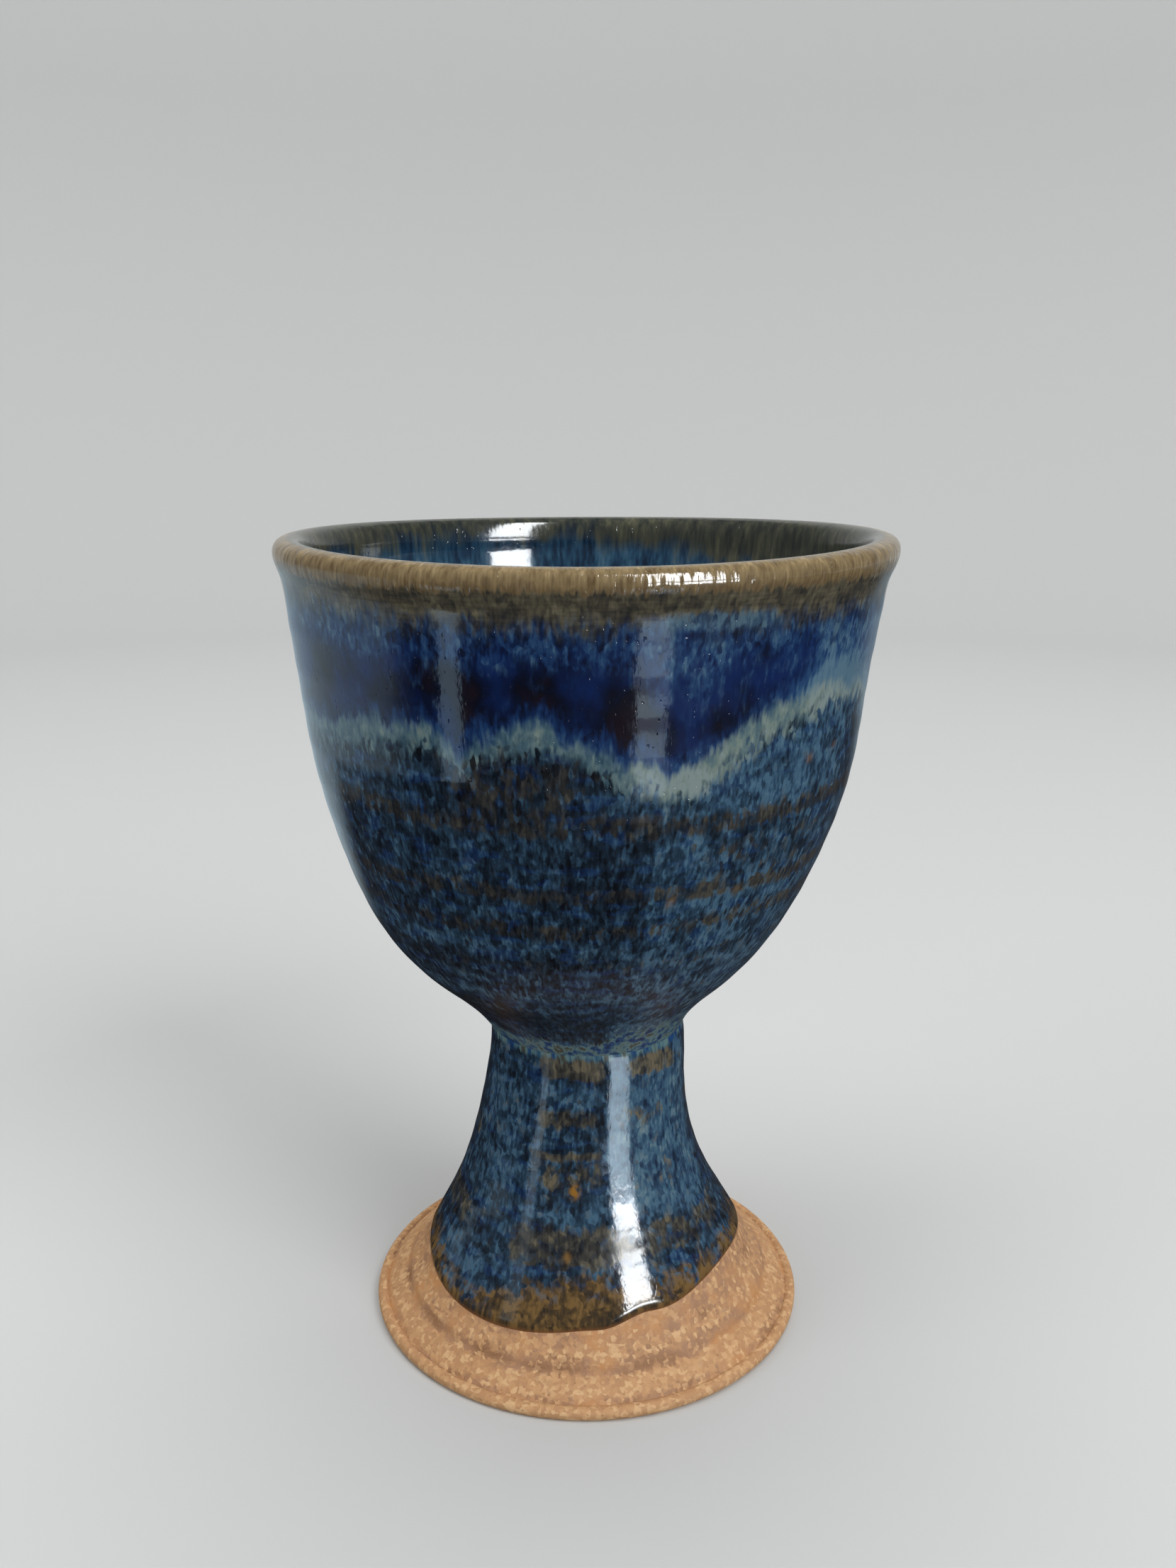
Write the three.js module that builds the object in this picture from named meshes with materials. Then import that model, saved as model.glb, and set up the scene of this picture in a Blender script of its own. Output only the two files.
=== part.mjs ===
// Communion chalice in hand-thrown stoneware: a tulip bowl on a hollow trumpet pedestal.
// The two thrown parts are joined with slip and carry a fired glaze that stops above the bare foot.
// Millimetres, +Z up, origin at the centre of the foot's underside. Every outline is (radius, height).
import * as THREE from "three";

// Driving dimensions
const HEIGHT = 140;
const LIP_RADIUS = 50.5; // widest radius of the flared lip
const LIP_HALF_WIDTH = 2.3;
const LIP_RISE = 3; // height of the lip's rounded crest above its widest circle
const LIP_BAND_DEPTH = 6; // how far the lip's thin glaze band reaches below the crest
const OVERDIP_Z = 104; // lower limit of the second glaze, dipped over the rim
const BOWL_BASE_Z = 54; // flat base of the bowl, where it sits on the slip
const BOWL_FLOOR_Z = 61.5; // lowest point inside the bowl
const NECK_RADIUS = 17.2; // narrowest glazed radius, at the joint
const FOOT_RADIUS = 39.3;
const FOOT_RING_WIDTH = 7; // flat annulus that stands on the table
const FOOT_BEAD_RADIUS = 1.1; // raised bead round the foot's edge
const HOLLOW_TOP_RADIUS = 11; // inside of the pedestal where it meets the slip
const SLIP_THICKNESS = 0.8;
const SLIP_BULGE = 0.3; // how far the squeezed-out slip stands proud of the clay
const GLAZE = 0.5; // thickness of the fired glaze
const GLAZE_LINE_Z = 10.2; // lower edge of the glaze on the pedestal
const GLAZE_LINE_RADIUS = 29.3;

const SEGMENTS = 40;
const LIP_Z = HEIGHT - LIP_RISE;
const LIP_BAND_Z = HEIGHT - LIP_BAND_DEPTH;
const PEDESTAL_TOP_Z = BOWL_BASE_Z - SLIP_THICKNESS;
const COAT_JOINT_Z = BOWL_BASE_Z + GLAZE; // where the bowl's coat meets the pedestal's coat
const NECK_CLAY_RADIUS = NECK_RADIUS - GLAZE;
const BOWL_BASE_RADIUS = NECK_CLAY_RADIUS - 0.2;
const COAT_JOINT = at(NECK_RADIUS, COAT_JOINT_Z);
const OVERDIP_EDGE = at(45.4, OVERDIP_Z);

const COLOURS = {
  clay: { color: "#c49a6c", roughness: 0.85 },
  slip: { color: "#b08a63", roughness: 0.9 },
  floatingBlue: { color: "#2f4766", roughness: 0.12 },
  overdip: { color: "#1c2c55", roughness: 0.1 },
  lip: { color: "#8f7350", roughness: 0.3 },
};

function at(radius, z) {
  return new THREE.Vector2(radius, z);
}

// A smooth curve through the points, with `steps` straight pieces between each two.
function smooth(points, steps) {
  return new THREE.SplineCurve(points).getPoints((points.length - 1) * steps);
}

// Moves each point of an open outline sideways, to the left of its direction of travel.
function offset(points, distance) {
  return points.map((point, i) => {
    const before = points[Math.max(i - 1, 0)];
    const after = points[Math.min(i + 1, points.length - 1)];
    const along = after.clone().sub(before).normalize();
    return at(Math.max(point.x - along.y * distance, 0), point.y + along.x * distance);
  });
}

// The glazed outside of the bowl below the overdip, from the joint upwards.
function lowerOutside() {
  const belly = [at(20, 58.6), at(28.6, 67.1), at(35.4, 76), at(41.05, 88.5)];
  return smooth([COAT_JOINT, ...belly, OVERDIP_EDGE], 2);
}

function upperOutside() {
  return smooth([OVERDIP_EDGE, at(47.2, 118), at(49.1, LIP_BAND_Z - 2)], 2);
}

// The lip: a half ellipse from the widest circle over the crest, with a point at each band edge.
function lipOutline() {
  const centre = LIP_RADIUS - LIP_HALF_WIDTH;
  const crest = new THREE.EllipseCurve(centre, LIP_Z, LIP_HALF_WIDTH, LIP_RISE, 0, Math.PI);
  return [at(49.6, LIP_BAND_Z), ...crest.getPoints(6), at(45.1, LIP_BAND_Z)];
}

// The glazed inside of the bowl, from below the lip down to the middle of the floor.
function insideOutline() {
  return smooth([at(44.7, LIP_BAND_Z - 2), at(41.9, 112), at(35.5, 89), at(22, 69), at(0, BOWL_FLOOR_Z)], 2);
}

// The bowl's whole glazed surface, up the outside, over the lip and down the inside, and the
// clay surface under it. Three cuts divide the coats; the two at the lip are level.
function bowlSurfaces() {
  const lower = lowerOutside();
  const upper = upperOutside().slice(1);
  const lip = lipOutline();
  const glazed = [...lower, ...upper, ...lip, ...insideOutline()];
  const clay = offset(glazed, GLAZE);
  const overdipStart = lower.length - 1;
  const lipStart = lower.length + upper.length;
  const lipEnd = lipStart + lip.length - 1;
  clay[0].set(NECK_CLAY_RADIUS, COAT_JOINT_Z);
  clay[lipStart].y = LIP_BAND_Z;
  clay[lipEnd].y = LIP_BAND_Z;
  clay[clay.length - 1].set(0, BOWL_FLOOR_Z - GLAZE);
  return { glazed, clay, overdipStart, lipStart, lipEnd };
}

function bowlBody({ clay }) {
  return [at(0, BOWL_BASE_Z), at(BOWL_BASE_RADIUS, BOWL_BASE_Z), ...clay];
}

// A closed coat between the glazed surface and the clay, over one stretch of the bowl.
function coat({ glazed, clay }, from, to) {
  return [...glazed.slice(from, to + 1), ...clay.slice(from, to + 1).reverse()];
}

function liner({ glazed, clay, lipEnd }) {
  return [...clay.slice(lipEnd).reverse(), ...glazed.slice(lipEnd)];
}

// The pedestal's clay surface under the glaze, from the joint down to the glaze line.
function stemClay() {
  const top = at(NECK_CLAY_RADIUS, PEDESTAL_TOP_Z);
  const bottom = at(GLAZE_LINE_RADIUS, GLAZE_LINE_Z);
  return smooth([top, at(18.2, 38.5), at(23.2, 22), at(28, 13.3), bottom], 2);
}

// The bare foot: two sloping tiers with a small step between them, and a bead round the edge.
function bareFoot() {
  const tiers = [at(30, 9.3), at(31.6, 7.4), at(33.2, 5.6), at(33.7, 4.7), at(35.6, 3.2), at(37.2, 2.1)];
  const centre = FOOT_RADIUS - FOOT_BEAD_RADIUS;
  const r = FOOT_BEAD_RADIUS;
  const bead = new THREE.EllipseCurve(centre, r, r, r, (2 * Math.PI) / 3, -Math.PI / 2, true);
  return [...tiers, ...bead.getPoints(4)];
}

// The hollow inside the pedestal, from the foot's underside up to the slip.
function hollow() {
  const mouth = at(FOOT_RADIUS - FOOT_BEAD_RADIUS - FOOT_RING_WIDTH, 0);
  return smooth([mouth, at(22.6, 12), at(14.6, 30), at(HOLLOW_TOP_RADIUS, PEDESTAL_TOP_Z)], 2);
}

function pedestalBody(stem) {
  return [...stem, ...bareFoot(), ...hollow()].reverse();
}

// Slip squeezed out of the joint: the rounded outer edge of a thin ring.
function slipEdge() {
  const middle = (BOWL_BASE_Z + PEDESTAL_TOP_Z) / 2;
  const bulge = at(NECK_CLAY_RADIUS + SLIP_BULGE, middle);
  return [at(NECK_CLAY_RADIUS, PEDESTAL_TOP_Z), bulge, at(BOWL_BASE_RADIUS, BOWL_BASE_Z)];
}

function lutingSlip(edge) {
  return [at(HOLLOW_TOP_RADIUS, BOWL_BASE_Z), at(HOLLOW_TOP_RADIUS, PEDESTAL_TOP_Z), ...edge];
}

// The pedestal's coat covers the slip and the stem, and ends in a rounded roll at the glaze line.
function pedestalGlaze(edge, stem) {
  const covered = [at(NECK_CLAY_RADIUS, COAT_JOINT_Z), edge[2], edge[1], ...stem];
  const surface = offset(covered, GLAZE);
  surface[0].copy(COAT_JOINT);
  surface[surface.length - 1].y = GLAZE_LINE_Z + GLAZE;
  const roll = at(GLAZE_LINE_RADIUS + 0.7 * GLAZE, GLAZE_LINE_Z + 0.2 * GLAZE);
  return [...surface, roll, ...covered.reverse()].reverse();
}

// A solid of revolution about Z. An outline that doesn't start on the axis closes on itself.
function turned(name, outline, colour) {
  const closed = outline[0].x === 0 ? outline : [...outline, outline[0].clone()];
  const geometry = new THREE.LatheGeometry(closed, SEGMENTS);
  geometry.rotateX(Math.PI / 2);
  const mesh = new THREE.Mesh(geometry, new THREE.MeshStandardMaterial({ ...colour, metalness: 0 }));
  mesh.name = name;
  return mesh;
}

const bowl = bowlSurfaces();
const stem = stemClay();
const edge = slipEdge();

const chalice = new THREE.Group();
chalice.add(
  turned("bowl_body", bowlBody(bowl), COLOURS.clay),
  turned("pedestal_body", pedestalBody(stem), COLOURS.clay),
  turned("luting_slip", lutingSlip(edge), COLOURS.slip),
  turned("bowl_base_glaze", coat(bowl, 0, bowl.overdipStart), COLOURS.floatingBlue),
  turned("bowl_overdip_glaze", coat(bowl, bowl.overdipStart, bowl.lipStart), COLOURS.overdip),
  turned("lip_glaze", coat(bowl, bowl.lipStart, bowl.lipEnd), COLOURS.lip),
  turned("bowl_liner_glaze", liner(bowl), COLOURS.floatingBlue),
  turned("pedestal_glaze", pedestalGlaze(edge, stem), COLOURS.floatingBlue),
);

export default chalice;
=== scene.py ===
import math

import bpy
import numpy as np
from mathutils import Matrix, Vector


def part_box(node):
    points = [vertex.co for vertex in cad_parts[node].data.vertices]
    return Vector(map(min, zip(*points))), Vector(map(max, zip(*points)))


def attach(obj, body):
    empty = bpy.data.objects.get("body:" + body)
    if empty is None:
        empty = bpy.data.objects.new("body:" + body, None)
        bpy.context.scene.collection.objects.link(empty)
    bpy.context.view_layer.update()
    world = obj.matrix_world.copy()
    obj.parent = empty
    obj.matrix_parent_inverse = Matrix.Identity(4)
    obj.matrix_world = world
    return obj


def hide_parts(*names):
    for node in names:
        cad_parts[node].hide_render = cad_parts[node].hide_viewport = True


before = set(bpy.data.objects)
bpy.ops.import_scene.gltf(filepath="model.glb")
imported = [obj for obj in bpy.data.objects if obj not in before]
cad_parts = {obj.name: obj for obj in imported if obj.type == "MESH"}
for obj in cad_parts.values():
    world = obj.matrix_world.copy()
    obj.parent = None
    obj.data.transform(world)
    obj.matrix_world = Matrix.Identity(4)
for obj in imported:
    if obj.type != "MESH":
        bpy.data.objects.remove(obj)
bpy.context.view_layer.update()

# A hand-thrown stoneware chalice. Outlines are (radius, height) in millimetres, and an angle is in
# degrees round the axis from the front, -Y, towards +X. Meshes and the studio are in metres.
MM = 0.001
ROUND = 384  # steps round the axis

# --- Driving dimensions, read from the CAD nodes -------------------------------------------------


def low(node):
    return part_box(node)[0].z / MM


def high(node):
    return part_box(node)[1].z / MM


def radius(node):
    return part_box(node)[1].x / MM


HEIGHT = high("lip_glaze")
LIP_RADIUS = radius("lip_glaze")
LIP_BAND_Z = low("lip_glaze")
OVERDIP_Z = low("bowl_overdip_glaze")
COAT_JOINT_Z = low("bowl_base_glaze")
BOWL_BASE_Z = low("bowl_body")
PEDESTAL_TOP_Z = high("pedestal_body")
FOOT_RADIUS = radius("pedestal_body")
GLAZE_LINE_Z = low("pedestal_glaze")
GLAZE = 0.5  # thickness of the coats
GLAZE_ROLL = 1.5  # height over which the stem's coat rounds off to its lower edge
BOWL_FLOOR_Z = low("bowl_liner_glaze") + GLAZE
LIP_HALF_WIDTH = 2.3
LIP_FLARE = 0.05  # how far the lip reaches past the CAD's widest circle
LIP_RISE = 1.4  # height of the crest above the lip's widest circle
NECK_RADIUS = 17.2
NECK_UNDERCUT = 0.2  # how much the bowl's base is narrower than the neck's clay
SLIP_BULGE = 0.3
HOLLOW_TOP_RADIUS = 11.0
FOOT_RING_WIDTH = 7.0
FOOT_BEAD_RADIUS = 1.1

# The outlines: the bowl's outside and inside, the stem's clay and the bare foot's two tiers.
BELLY = [(20.0, 58.6), (28.6, 67.1), (35.4, 76.0), (41.05, 88.5), (45.4, OVERDIP_Z), (47.2, 118.0),
         (49.0, 131.0), (49.6, LIP_BAND_Z)]
INSIDE = [(45.1, LIP_BAND_Z), (44.5, 131.0), (41.9, 112.0), (35.5, 89.0), (22.0, 69.0), (8.0, 62.2)]
STEM = [(16.7, PEDESTAL_TOP_Z), (18.2, 38.5), (23.2, 22.0), (27.8, 13.3), (29.5, GLAZE_LINE_Z)]
TIERS = [(30.3, 9.0), (31.8, 7.3), (33.1, 5.9), (33.5, 4.9), (34.2, 4.4), (35.7, 3.4), (36.9, 2.4),
         (37.4, 1.9)]

# --- Curves --------------------------------------------------------------------------------------


def through(points, spacing):
    """A smooth cubic curve through the points, sampled about every `spacing` millimetres."""
    points = np.array(points, float)
    chord = np.r_[0, np.cumsum(np.linalg.norm(np.diff(points, axis=0), axis=1))]
    samples = np.linspace(0, chord[-1], int(chord[-1] / spacing) + 2)
    return natural_cubic(chord, points, samples)


def natural_cubic(knots, values, at):
    """The natural cubic spline of `values` over `knots`, at the places `at`."""
    knots, values, at = np.array(knots, float), np.array(values, float), np.array(at, float)
    gaps = np.diff(knots)
    slopes = (np.diff(values, axis=0).T / gaps).T
    size = len(knots)
    system = np.eye(size)
    right = np.zeros_like(values)
    for i in range(1, size - 1):
        system[i, i - 1 : i + 2] = gaps[i - 1], 2 * (gaps[i - 1] + gaps[i]), gaps[i]
        right[i] = 6 * (slopes[i] - slopes[i - 1])
    bend = np.linalg.solve(system, right)
    i = np.clip(np.searchsorted(knots, at) - 1, 0, size - 2)
    a, b, h = knots[i + 1] - at, at - knots[i], gaps[i]
    if values.ndim == 2:
        a, b, h = a[:, None], b[:, None], h[:, None]
    cubic = (bend[i] * a**3 + bend[i + 1] * b**3) / (6 * h)
    return cubic + (values[i] / h - bend[i] * h / 6) * a + (values[i + 1] / h - bend[i + 1] * h / 6) * b


def round_loop(knots, at):
    """A smooth periodic curve through (degrees, value) pairs, at angles in degrees."""
    knots = sorted(knots)
    extended = [(d - 360, v) for d, v in knots[-4:]] + knots + [(d + 360, v) for d, v in knots[:4]]
    degrees, values = zip(*extended)
    return natural_cubic(degrees, values, np.mod(np.asarray(at) + 180, 360) - 180)


def offset(points, distance):
    """Each point of an open outline moved to the left of its direction of travel."""
    along = np.gradient(points, axis=0)
    along /= np.linalg.norm(along, axis=1)[:, None]
    moved = points + distance * np.stack([-along[:, 1], along[:, 0]], 1)
    moved[:, 0] = np.maximum(moved[:, 0], 0)
    return moved


def smoothstep(low_edge, high_edge, x):
    t = np.clip((x - low_edge) / (high_edge - low_edge), 0, 1)
    return t * t * (3 - 2 * t)


# --- The maker's hand: everything is thrown, so nothing is quite round ---------------------------


# How far the axis leans towards +X, in millimetres, at each height.
LEAN = [(0, 0.1), (14, 0.1), (30, -0.5), (46, 0.1), (53, 0.3), (57, -0.2), (61, -0.5), (67, -0.9),
        (75, -1.05), (85, -0.75), (100, -0.35), (118, -0.4), (140, 0.15)]


def by_hand(r, z, degrees):
    """Metres, from turned millimetres: throwing ridges, a slightly oval bowl, a lean and a wavy lip."""
    angle = np.radians(degrees)
    bowl = smoothstep(56, 66, z)
    stem = (1 - bowl) * smoothstep(12, 18, z)
    r = r + (0.035 * bowl + 0.025 * stem) * throwing_ridge(z, angle) * smoothstep(0, 8, r)
    r = r * (1 + 0.0025 * bowl * np.cos(2 * (angle - 0.6)))
    lip = smoothstep(118, 139, z)
    z = z + lip * (0.075 - 0.35 * np.cos(angle) - 0.425 * np.cos(2 * angle) + 0.15 * np.sin(angle))
    lean_z, lean_x = zip(*LEAN)
    x = r * np.sin(angle) + natural_cubic(lean_z, lean_x, np.clip(z, 0, 140).ravel()).reshape(z.shape)
    return np.stack([x, -r * np.cos(angle), z], -1) * MM


def throwing_ridge(z, angle):
    """Ridges that climb the wall in a slow spiral, from -1 in a groove to 1 on a crest."""
    drift = 0.5 * np.sin(2 * angle + z * 0.05) + 0.3 * np.sin(5 * angle + z * 0.11)
    broad = np.sin(2 * math.pi * z / 5.9 + angle + drift)
    fine = np.sin(2 * math.pi * z / 3.1 - 2 * angle)
    return 0.8 * broad + 0.2 * fine


# --- Turned meshes -------------------------------------------------------------------------------


DEGREES = np.arange(ROUND) * 360 / ROUND


def turned(name, outline, node, paint=None):
    """A closed turned solid from a closed outline, shape (points, 2) or (round, points, 2).
    An outline that touches the axis starts and ends there; one that doesn't can have a `paint`,
    which gives named numbers or vectors per vertex."""
    outline = np.asarray(outline, float)
    if outline.ndim == 2:
        outline = np.broadcast_to(outline, (ROUND, *outline.shape))
    poles = outline[0, 0, 0] < 1e-6
    r, z = outline[..., 0], outline[..., 1]
    degrees = np.broadcast_to(DEGREES[:, None], r.shape)
    grid = by_hand(r, z, degrees)
    ends = np.empty((0, 3))
    if poles:
        ends = np.array([grid[:, 0].mean(0), grid[:, -1].mean(0)])
        grid = grid[:, 1:-1]
    vertices = np.vstack([grid.reshape(-1, 3), ends])
    mesh = bpy.data.meshes.new(name)
    mesh.from_pydata(vertices.tolist(), [], grid_faces(ROUND, grid.shape[1], poles))
    for key, values in (paint(degrees, z) if paint else {}).items():
        kind, field = ("FLOAT_VECTOR", "vector") if values.ndim == 3 else ("FLOAT", "value")
        mesh.attributes.new(key, kind, "POINT").data.foreach_set(field, values.astype(np.float32).ravel())
    mesh.shade_smooth()
    mesh.set_sharp_from_angle(angle=math.radians(40))
    piece = bpy.data.objects.new(name, mesh)
    bpy.context.scene.collection.objects.link(piece)
    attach(piece, "root")
    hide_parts(node)
    return piece


def grid_faces(around, across, poles):
    """Quads round a grid of vertices, closed across it too, or closed with fans at two poles."""
    i = np.arange(around)[:, None]
    j = np.arange(across - 1 if poles else across)[None, :]
    ni, nj = (i + 1) % around, (j + 1) % across
    quads = np.stack([i * across + j, ni * across + j, ni * across + nj, i * across + nj], -1)
    faces = quads.reshape(-1, 4).tolist()
    if poles:
        first, last = around * across, around * across + 1
        for a in range(around):
            b = (a + 1) % around
            faces.append((first, b * across, a * across))
            faces.append((last, a * across + across - 1, b * across + across - 1))
    return faces


def thinned(points, keep_every):
    """Fewer points where a surface is hidden, with both ends kept."""
    return np.vstack([points[:-1:keep_every], points[-1:]])


# --- Where the glazes ran ------------------------------------------------------------------------

# Round the bowl, as (degrees, millimetres): the height of the dark glaze's lower edge, the depth of
# the pale run under it, and the depth of the clear blue that borders it inside.
DARK_EDGE = [(-170, 117), (-140, 121), (-115, 116.5), (-90, 120), (-65, 117), (-42, 118.6), (-28, 118.8),
             (-15, 118.8), (-8, 121), (0, 118.2), (8, 116.2), (15, 114.6), (24, 115.4), (31, 119.5),
             (39, 123.5), (46, 127.5), (60, 128), (80, 120), (100, 121), (122, 117), (145, 120.5),
             (165, 117.5)]
PALE_DEPTH = [(-160, 5), (-110, 6), (-60, 6.4), (-35, 6.4), (-20, 5.4), (-8, 6.6), (2, 6.2), (15, 7.6),
              (28, 6.4), (45, 9), (60, 8), (90, 5), (130, 6)]
BLUE_DEPTH = [(-160, 2), (-100, 2.4), (-40, 2), (20, 2), (36, 2.6), (46, 7), (60, 8), (78, 4), (110, 2),
              (140, 2.4)]
# Each run: its angle, how far it hangs and half its width in degrees.
RUNS = [(-155, 2, 2), (-128, 3, 1.7), (-100, 1.6, 2), (-78, 3.2, 1.8), (-52, 1.8, 2), (-36, 1.2, 1.5),
        (-21.5, 3.4, 1.7), (-2.5, 1.2, 1.6), (7, 1.8, 1.6), (14.8, 2.8, 1.6), (19.5, 0.6, 1.5), (57, 1.5, 2),
        (74, 2.6, 1.7), (96, 1.5, 1.5), (118, 3.2, 1.9), (150, 1.8, 1.6), (172, 3, 1.8)]
# Brown is where the glaze broke over a ridge, and light is where it is paler, or darker if negative; some
# light arcs are painted light instead, lighter on the lamp-lit right side and darker, as painted shade, on
# the bowl's lower left.
# Each arc: its height, half its thickness, the angles between which it shows, and its strength.
BOWL_BROWN = [(102.7, 1.7, -180, 180, 0.62), (91.4, 1.5, -180, 180, 0.62), (85.4, 1.4, -180, 180, 0.55),
              (78.6, 1.3, -180, 180, 0.3), (107.5, 6, -24, -1, 0.6), (110, 0.7, -20, 6, 0.6),
              (96, 5, 22, 60, 0.3), (66, 3, -70, -15, 0.35), (66, 2.5, 20, 60, 0.15),
              (106, 4, 80, 118, 0.6), (97, 4, -140, -100, 0.5), (110, 4, 140, 172, 0.5)]
# Painted light among the bowl's light arcs: (83, 24, 14, 75), (122, 8, 43, 75) and (60, 3, 12, 180) paint
# the lamp-lit right side lighter, (109.5, 3, 8, 25) is a painted highlight at the pale run's tip, and (63,
# 2.8, -180, 12) is painted shade on the lower left.
BOWL_PALE_AND_LIT = [(132.6, 1.5, 12, 33, 0.8), (131, 4, -75, -36, 0.2), (125, 5, 12, 24, 0.5),
              (122, 8, 43, 75, 0.95), (119, 9, 14, 44, 0.14), (118, 8, -30, 11, -0.14),
              (108, 5, -60, -38, 0.1), (114, 3, -75, -30, -0.2), (109, 7, 20, 60, 0.62),
              (71, 1.4, -60, 12, 0.45), (81.5, 1.8, -60, 12, 0.25), (83, 24, 14, 75, 0.5),
              (130, 4, 90, 140, 0.5), (71, 1.4, 100, 200, 0.4), (63, 2.8, -180, 12, -0.35),
              (60, 3, 12, 180, 0.95), (109.5, 3, 8, 25, 0.9)]
STEM_BROWN = [(51.6, 2.0, -27, 9, 1.2), (51.6, 1.9, 24, 60, 1.0), (42.6, 1.6, -26, 8, 0.8),
              (36.8, 0.7, -26, 8, 0.9), (32.5, 2.6, -22, 9, 0.55), (43, 2.0, 18, 46, 0.35),
              (32, 3, 26, 54, 0.15), (21.6, 3.2, -32, 22, 0.85), (21.6, 2.6, 22, 75, 0.6),
              (51.6, 1.8, 90, 160, 0.8), (42, 1.5, 75, 140, 0.6), (33, 2.5, 100, 190, 0.5),
              (22, 3, 100, 215, 0.8), (47, 2, -150, -110, 0.6), (36, 2, -120, -70, 0.5),
              (22, 2.5, -125, -60, 0.7)]
# Painted light among the stem's light arcs: (38, 15, 12, 75) paints the whole lamp-lit right side lighter.
STEM_PALE_AND_LIT = [(47.3, 2.2, -75, 12, 0.35), (51.6, 2, 22, 75, 0.75), (51.6, 2, -27, 12, 0.25),
              (26.4, 1.5, -180, 12, 0.35), (39.4, 1.5, -26, 10, 0.4), (38, 15, 12, 75, 1.0),
              (38, 12, -75, -34, 0.5), (14, 4, -75, -28, 0.5), (14, 4, 26, 75, 0.4),
              (18.6, 1.0, -20, 60, 0.4), (30, 30, -180, 180, 0.12)]
# Round the foot, as (degrees, millimetres): the height of the glaze's edge, and how far the amber
# band reaches above it.
GLAZE_EDGE = [(-180, 9.6), (-150, 10.6), (-120, 9.2), (-90, 10.2), (-60, 9.4), (-30, 8.9), (-8, 9.8),
              (0, 10.2), (6, 10.3), (14, 11.2), (20, 11.8), (26, 11.7), (43, 12.6), (62, 13.4),
              (85, 12.2), (110, 10.4), (145, 9.4)]
AMBER_REACH = [(-180, 5), (-140, 4), (-100, 5), (-60, 2.6), (-38, 3.2), (-24, 6.2), (-8, 7), (4, 6.2),
               (16, 5.2), (26, 3.4), (45, 2.6), (62, 2.4), (90, 4), (135, 6)]
# Each rust spot: its angle, height, half width and half height in millimetres, and strength.
BOWL_RUST = [(46.3, 110, 0.8, 0.9, 0.55), (54.6, 110.7, 0.7, 0.7, 0.2), (18.3, 89.6, 0.4, 1.3, 0.9),
             (33.5, 90.7, 0.6, 0.6, 0.4), (-120, 92, 0.8, 1.0, 0.6), (140, 104, 0.6, 0.7, 0.6),
             (96, 93, 0.5, 0.6, 0.5)]
STEM_RUST = [(-3.9, 30.8, 1.0, 1.2, 0.9), (-7, 20.6, 0.6, 0.8, 0.5), (120, 33, 0.8, 1.0, 0.7),
             (-100, 27, 0.7, 0.8, 0.6)]
BOWL_RUST_RADIUS, STEM_RUST_RADIUS = 42, 22  # of the wall where the spots lie


def run_depth(degrees):
    """How far the runs hang below the edge of the dark glaze, in millimetres."""
    total = np.zeros_like(degrees)
    for centre, depth, width in RUNS:
        away = np.mod(degrees - centre + 180, 360) - 180
        total += depth * np.exp(-((away / width) ** 2))
    return total


def arcs(entries, degrees, z):
    """The strongest of the soft-edged arcs at each point."""
    total = np.zeros_like(z)
    for height, half, start, end, strength in entries:
        slow = np.sin(np.radians(3 * degrees + 37 * height))
        quick = np.sin(np.radians(7 * degrees + 11 * height))
        share = np.exp(-(((z - height - 0.35 * slow - 0.25 * quick) / half) ** 4))
        if end - start < 360:
            middle, reach = (start + end) / 2, (end - start) / 2
            away = abs(np.mod(degrees - middle + 180, 360) - 180)
            share = share * (1 - smoothstep(reach - 4, reach + 4, away))
        total = np.where(abs(strength * share) > abs(total), strength * share, total)
    return total


def rust(spots, degrees, z, wall_radius):
    """The strength of the rust spots, fading to 0 at their edges."""
    total = np.zeros_like(z)
    for angle, height, wide, tall, strength in spots:
        across = (np.mod(degrees - angle + 180, 360) - 180) * math.pi / 180 * wall_radius
        total += strength * np.exp(-(np.hypot(across / wide, (z - height) / tall) ** 4))
    return total


def flow(degrees, z, profile):
    """Where each point lies in the glaze's own space, in metres. Its third number is the distance up
    the outline, so that flecks keep their length where the wall leans."""
    length = np.r_[0, np.cumsum(np.linalg.norm(np.diff(profile, axis=0), axis=1))]
    middle = profile[:, 0].mean()
    r = middle + 0.35 * (np.interp(z, profile[:, 1], profile[:, 0]) - middle)
    angle = np.radians(degrees)
    return np.stack([r * np.sin(angle), -r * np.cos(angle), np.interp(z, profile[:, 1], length)], -1) * MM


def bowl_paint(degrees, z):
    """How far each point lies above the dark glaze, its blue border and its pale run, and its marks."""
    line = round_loop(DARK_EDGE, DEGREES)[:, None]
    runs = run_depth(DEGREES)[:, None]
    depth = round_loop(PALE_DEPTH, DEGREES)[:, None]
    blue = round_loop(BLUE_DEPTH, DEGREES)[:, None]
    return {
        "above_dark": z - line + runs,
        "above_blue": z - line + blue + runs,
        "above_pale": z - line + depth + 0.5 * runs + 0.4 * (blue - 2),
        "brown": arcs(BOWL_BROWN, degrees, z),
        "light": arcs(BOWL_PALE_AND_LIT, degrees, z),
        "rust": rust(BOWL_RUST, degrees, z, BOWL_RUST_RADIUS),
        "flow": flow(degrees, z, glazed[: crest + 1]),
    }


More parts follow.
